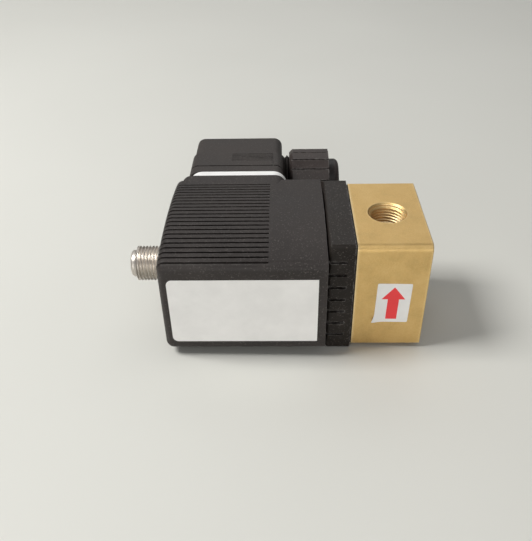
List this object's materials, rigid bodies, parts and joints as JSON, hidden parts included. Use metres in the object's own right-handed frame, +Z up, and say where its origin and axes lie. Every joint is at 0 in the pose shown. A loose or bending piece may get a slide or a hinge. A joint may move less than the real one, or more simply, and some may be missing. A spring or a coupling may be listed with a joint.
{
  "type": "solenoid valve",
  "caption": "Direct-acting 3/2-way solenoid valve: square brass body, ribbed black coil that turns on its tube, pull-off cable plug with gland, threaded exhaust stub.",
  "frame": {"origin": "centre of the lower threaded port's mouth in the brass body", "axes": "+X along the valve axis from the coil towards the brass body, +Y from the coil towards the cable plug, +Z up through the outlet port, with the valve lying on its side"},
  "size_m": [0.0794, 0.0767, 0.0336],
  "materials": {
    "brass": "fine machined satin",
    "seal_rubber": "matt",
    "flange_plastic": "moulded satin",
    "coil_plastic": "moulded satin",
    "plug_plastic": "moulded satin",
    "gland_plastic": "moulded satin",
    "block_plastic": "moulded",
    "bobbin_plastic": "moulded natural",
    "stainless": "turned",
    "spring_steel": "drawn wire",
    "plated_steel": "zinc plated",
    "screw_steel": "plated",
    "copper_wire": "enamelled copper wire",
    "contact_metal": "tinned",
    "label_white": "printed film",
    "arrow_red": "printed film",
    "gasket_white": "soft matt"
  },
  "bodies": {
    "valve": {"valve_body": "brass", "body_oring": "seal_rubber", "clamp_flange": "flange_plastic", "flange_screws": "screw_steel", "guide_tube": "stainless", "core_stopper": "stainless", "return_spring": "spring_steel", "coil_washer": "plated_steel", "arrow_label": "label_white", "flow_arrow": "arrow_red"},
    "plunger": {"plunger": "stainless", "main_seal": "seal_rubber", "exhaust_seal": "seal_rubber"},
    "coil": {"coil_housing": "coil_plastic", "yoke_frame": "plated_steel", "bobbin": "bobbin_plastic", "winding": "copper_wire", "contact_blades": "contact_metal", "boss_insert": "brass", "gasket": "gasket_white", "rating_label": "label_white"},
    "coil_nut": {"coil_nut": "plated_steel"},
    "plug": {"plug_housing": "plug_plastic", "terminal_block": "block_plastic", "terminal_contacts": "contact_metal", "terminal_screws": "screw_steel", "screw_seal": "seal_rubber", "gland_grommet": "seal_rubber", "gland_washer": "bobbin_plastic"},
    "plug_screw": {"plug_screw": "screw_steel"},
    "gland_nut": {"gland_nut": "gland_plastic"}
  },
  "joints": [
    {"name": "plunger_travel", "type": "slide", "parent": "valve", "child": "plunger", "axis": [-1, 0, 0], "range_m": [0, 0.0016], "stiffness_N_per_m": 1500, "springref_m": -0.002, "deforming": ["return_spring"]},
    {"name": "coil_swivel", "type": "hinge", "parent": "valve", "child": "coil", "pos_m": [-0.038, 0, 0.016], "axis": [1, 0, 0], "range_deg": [-180, 180]},
    {"name": "coil_nut_turn", "type": "hinge", "parent": "valve", "child": "coil_nut", "pos_m": [-0.056, 0, 0.016], "axis": [1, 0, 0], "continuous": true},
    {"name": "plug_pull", "type": "slide", "parent": "coil", "child": "plug", "axis": [0, 1, 0], "range_m": [0, 0.014]},
    {"name": "plug_screw_turn", "type": "hinge", "parent": "plug", "child": "plug_screw", "pos_m": [-0.0411, 0.05, 0.016], "axis": [0, 1, 0], "continuous": true},
    {"name": "gland_nut_turn", "type": "hinge", "parent": "plug", "child": "gland_nut", "pos_m": [-0.02, 0.044, 0.016], "axis": [1, 0, 0], "continuous": true}
  ]
}
